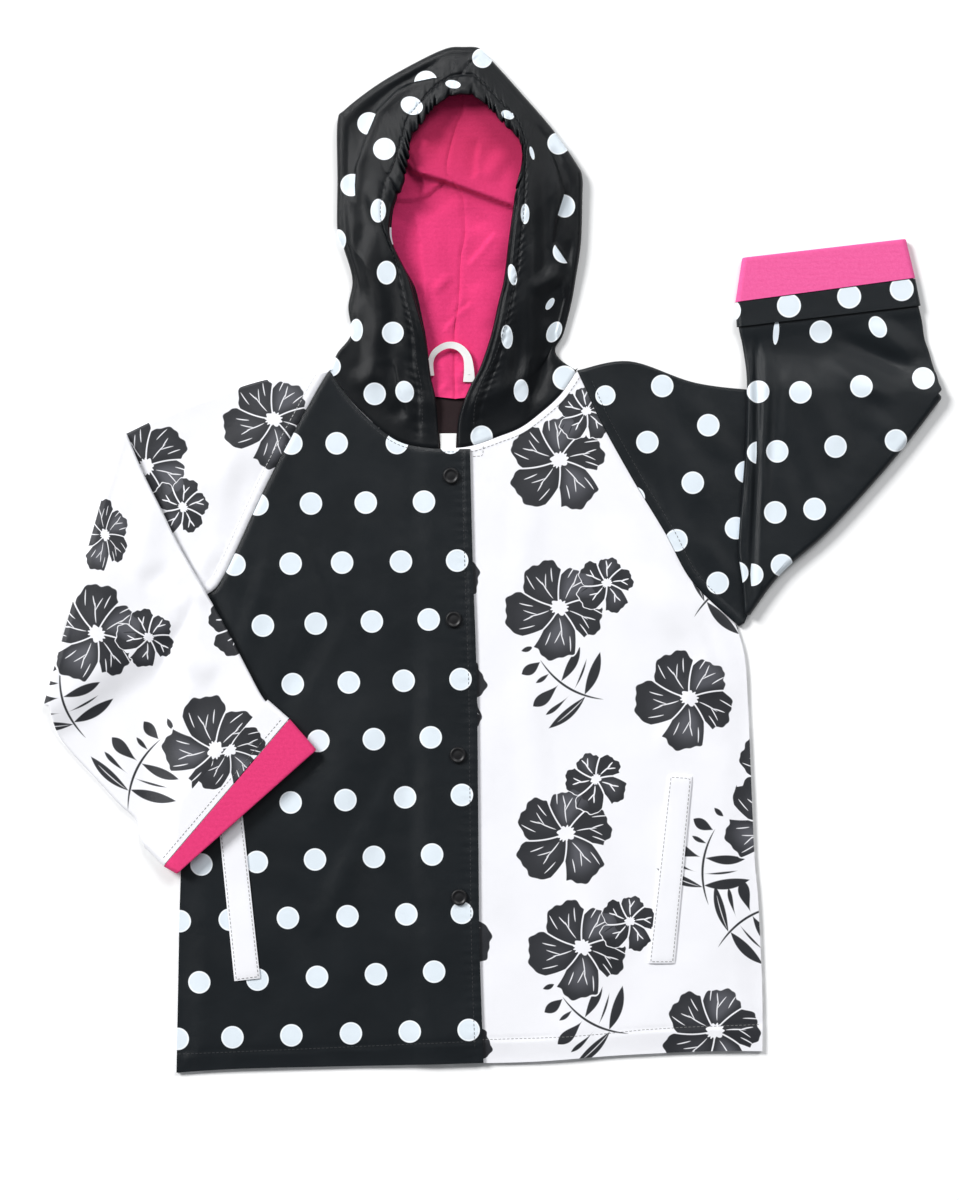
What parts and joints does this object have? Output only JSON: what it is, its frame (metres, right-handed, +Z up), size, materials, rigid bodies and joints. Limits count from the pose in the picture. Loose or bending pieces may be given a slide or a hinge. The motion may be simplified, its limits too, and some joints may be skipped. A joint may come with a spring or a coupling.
{
  "type": "toddler raincoat",
  "caption": "Hooded raglan raincoat for a toddler, lying flat on its back with its sleeves folded over and its cuffs turned back.",
  "frame": {"origin": "middle of the coat's bounding box, on the surface that it lies on", "axes": "+Z up from the surface, +Y from the hem to the hood, +X to the viewer's right, which is the wearer's left"},
  "size_m": [0.6622, 0.758, 0.0185],
  "materials": {
    "dotted_cloth": "satin coated woven cloth, black with white dots",
    "floral_cloth": "satin coated woven cloth, white with dark flowers and leaves",
    "pink_lining": "soft pink jersey",
    "white_tape": "plain white woven tape",
    "dark_label": "dark satin ribbon, bare",
    "snap": "smooth black snap cap"
  },
  "bodies": {
    "root": {"back": "floral_cloth", "front_floral": "floral_cloth", "front_dotted": "dotted_cloth", "sleeve_floral": "floral_cloth", "sleeve_dotted": "dotted_cloth", "cuff_floral_facing": "floral_cloth", "cuff_floral_lining": "pink_lining", "cuff_dotted_facing": "dotted_cloth", "cuff_dotted_lining": "pink_lining", "hood_left": "dotted_cloth", "hood_right": "dotted_cloth", "hood_facing": "dotted_cloth", "hood_lining_left": "pink_lining", "hood_lining_right": "pink_lining", "hang_loop": "white_tape", "size_label": "white_tape", "neck_label": "dark_label", "welt_left": "floral_cloth", "welt_right": "floral_cloth", "snap_cap_1": "snap", "snap_cap_2": "snap", "snap_cap_3": "snap", "snap_cap_4": "snap"}
  },
  "joints": []
}
